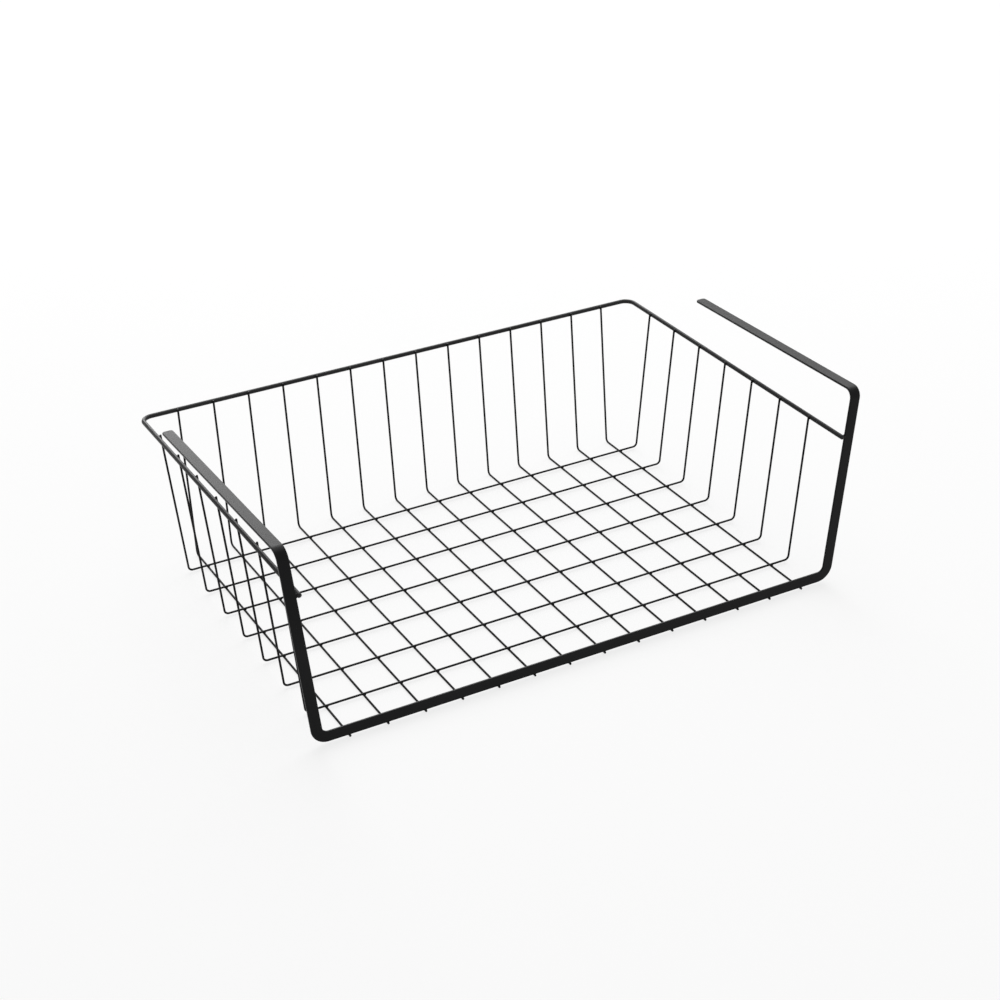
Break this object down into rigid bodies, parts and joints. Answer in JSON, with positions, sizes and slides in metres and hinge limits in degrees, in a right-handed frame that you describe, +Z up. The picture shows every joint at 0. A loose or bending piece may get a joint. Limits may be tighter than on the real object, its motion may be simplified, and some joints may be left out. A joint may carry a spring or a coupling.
{
  "type": "under shelf basket",
  "caption": "Open-front wire mesh basket that hangs under a shelf board: a bent flat strip forms the front bar, uprights and arms, and a round wire rim runs round the back.",
  "frame": {"origin": "centre of the overall box in plan, at the level of the lowest wires, which the basket stands on when it is not hung", "axes": "+X along the front bar from left to right as seen from the front, +Y from the open front to the back wall, +Z up"},
  "size_m": [0.4, 0.2565, 0.1367],
  "materials": {
    "strip_coat": "satin black powder coat on flat steel strip",
    "rim_coat": "satin black powder coat on round steel wire",
    "long_wire_coat": "satin black powder coat on thin drawn steel wire",
    "cross_wire_coat": "satin black powder coat on thin drawn steel wire"
  },
  "bodies": {
    "root": {"hanging_frame": "strip_coat", "rim_wire": "rim_coat", "long_wire_1": "long_wire_coat", "long_wire_2": "long_wire_coat", "long_wire_3": "long_wire_coat", "long_wire_4": "long_wire_coat", "long_wire_5": "long_wire_coat", "long_wire_6": "long_wire_coat", "long_wire_7": "long_wire_coat", "cross_wire_01": "cross_wire_coat", "cross_wire_02": "cross_wire_coat", "cross_wire_03": "cross_wire_coat", "cross_wire_04": "cross_wire_coat", "cross_wire_05": "cross_wire_coat", "cross_wire_06": "cross_wire_coat", "cross_wire_07": "cross_wire_coat", "cross_wire_08": "cross_wire_coat", "cross_wire_09": "cross_wire_coat", "cross_wire_10": "cross_wire_coat", "cross_wire_11": "cross_wire_coat", "cross_wire_12": "cross_wire_coat", "cross_wire_13": "cross_wire_coat", "cross_wire_14": "cross_wire_coat"}
  },
  "joints": []
}
